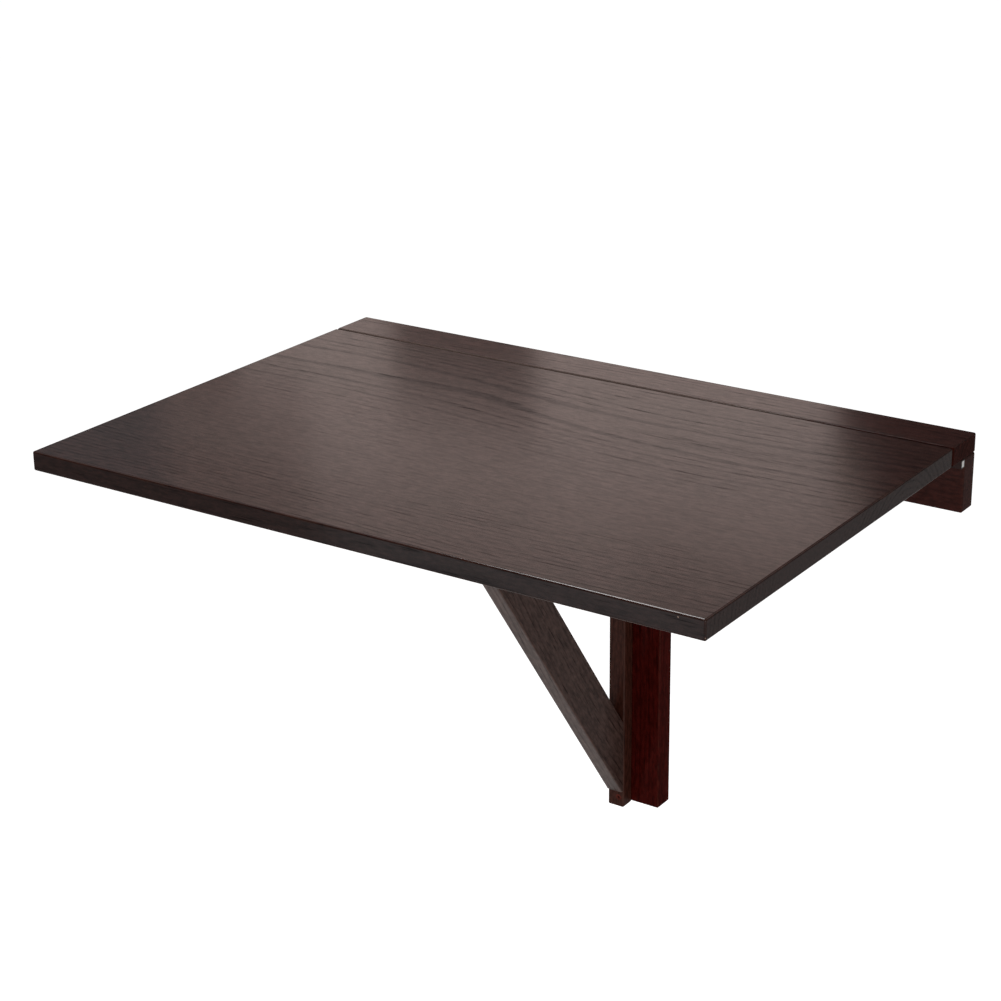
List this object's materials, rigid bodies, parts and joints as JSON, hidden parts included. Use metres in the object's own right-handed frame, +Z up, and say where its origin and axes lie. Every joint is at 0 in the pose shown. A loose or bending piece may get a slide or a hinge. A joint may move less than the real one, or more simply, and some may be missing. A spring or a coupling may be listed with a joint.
{
  "type": "wall folding table",
  "caption": "Wall-mounted folding table in dark stained wood: a leaf hinged to a fixed strip, held level by a triangular bracket that swings out from a wall post.",
  "frame": {"origin": "on the wall plane, at the middle of the rail's length and height", "axes": "+X to the right along the wall as seen from the front, +Y into the wall, +Z up"},
  "size_m": [0.6, 0.4306, 0.404],
  "materials": {
    "stained_wood": "dark brown stain under a satin varnish",
    "bare_wood": "bare",
    "hinge_steel": "zinc plated",
    "painted_bar": "painted dark along with the rail, bare bright steel in the middle of its sawn ends",
    "browned_screw": "browned",
    "zinc_screw": "bright zinc plated",
    "nylon": "off-white, moulded"
  },
  "bodies": {
    "wall_frame": {"bracket_hinge_lower_fixed_plate": "hinge_steel", "bracket_hinge_lower_pin": "zinc_screw", "bracket_hinge_upper_fixed_plate": "hinge_steel", "bracket_hinge_upper_pin": "zinc_screw", "corner_bar": "painted_bar", "corner_bar_screws": "zinc_screw", "hinge_strip": "stained_wood", "leaf_hinge_left_fixed_plate": "hinge_steel", "leaf_hinge_left_pin": "zinc_screw", "leaf_hinge_right_fixed_plate": "hinge_steel", "leaf_hinge_right_pin": "zinc_screw", "post_dowels": "bare_wood", "post_hinge_screws": "zinc_screw", "strip_dowels": "bare_wood", "strip_hinge_screws": "zinc_screw", "wall_post": "stained_wood", "wall_rail": "stained_wood"},
    "leaf": {"leaf_panel": "stained_wood", "leaf_hinge_left_moving_plate": "hinge_steel", "leaf_hinge_right_moving_plate": "hinge_steel", "leaf_hinge_screws": "zinc_screw"},
    "bracket": {"bracket_stile": "stained_wood", "bracket_arm": "stained_wood", "bracket_brace": "stained_wood", "arm_dowels": "bare_wood", "brace_foot_dowels": "bare_wood", "brace_head_dowels": "bare_wood", "toe_screw": "browned_screw", "rest_pad": "nylon", "rest_pad_screw": "zinc_screw", "bracket_hinge_upper_moving_plate": "hinge_steel", "bracket_hinge_lower_moving_plate": "hinge_steel", "stile_hinge_screws": "zinc_screw"}
  },
  "joints": [
    {"name": "bracket_swing", "type": "hinge", "parent": "wall_frame", "child": "bracket", "pos_m": [-0.01825, -0.0205, -0.194], "axis": [0, 0, -1], "range_deg": [0, 90]},
    {"name": "leaf_hinge", "type": "hinge", "parent": "wall_frame", "child": "leaf", "pos_m": [0, -0.0438, 0.01975], "axis": [-1, 0, 0], "range_deg": [0, 4]}
  ]
}
